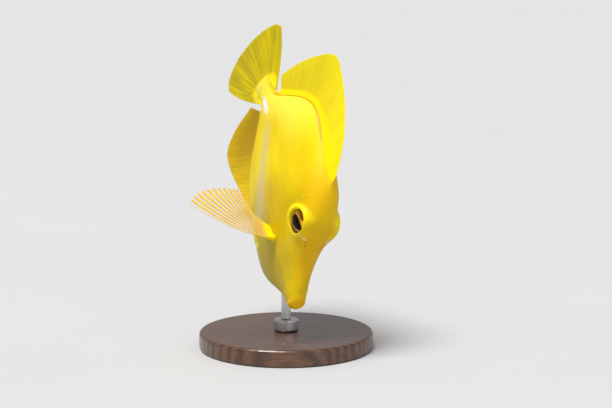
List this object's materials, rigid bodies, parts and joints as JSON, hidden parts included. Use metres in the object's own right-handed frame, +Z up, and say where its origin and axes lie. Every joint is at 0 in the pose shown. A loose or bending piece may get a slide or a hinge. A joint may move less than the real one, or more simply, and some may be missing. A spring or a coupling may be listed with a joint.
{
  "type": "yellow tang fish model on display stand",
  "caption": "Life-size still yellow surgeonfish diving nose first, tail bent aside and right pectoral fin spread, on a round base with a short rod.",
  "frame": {"origin": "centre of the stand base's underside", "axes": "+Z up along the stand's rod, -Y the way the fish faces, +X to the right of a viewer in front of the stand"},
  "size_m": [0.0939, 0.1022, 0.1696],
  "materials": {
    "skin": "satin yellow skin, paler on the chest",
    "lips": "satin yellow orange",
    "fins": "thin yellow membrane between rays",
    "eye": "glossy, brown orange iris round a black pupil",
    "spine": "smooth white spine",
    "base_wood": "dark satin wood",
    "steel": "satin steel"
  },
  "bodies": {
    "root": {"head": "skin", "torso": "skin", "tail_peduncle": "skin", "upper_lip": "lips", "lower_lip": "lips", "eye_right": "eye", "eye_left": "eye", "dorsal_fin": "fins", "anal_fin": "fins", "caudal_fin": "fins", "pectoral_fin_right": "fins", "pectoral_fin_left": "fins", "pelvic_fin_right": "fins", "pelvic_fin_left": "fins", "caudal_spine_right": "spine", "caudal_spine_left": "spine", "stand_base": "base_wood", "stand_collar": "steel", "stand_rod": "steel"}
  },
  "joints": []
}
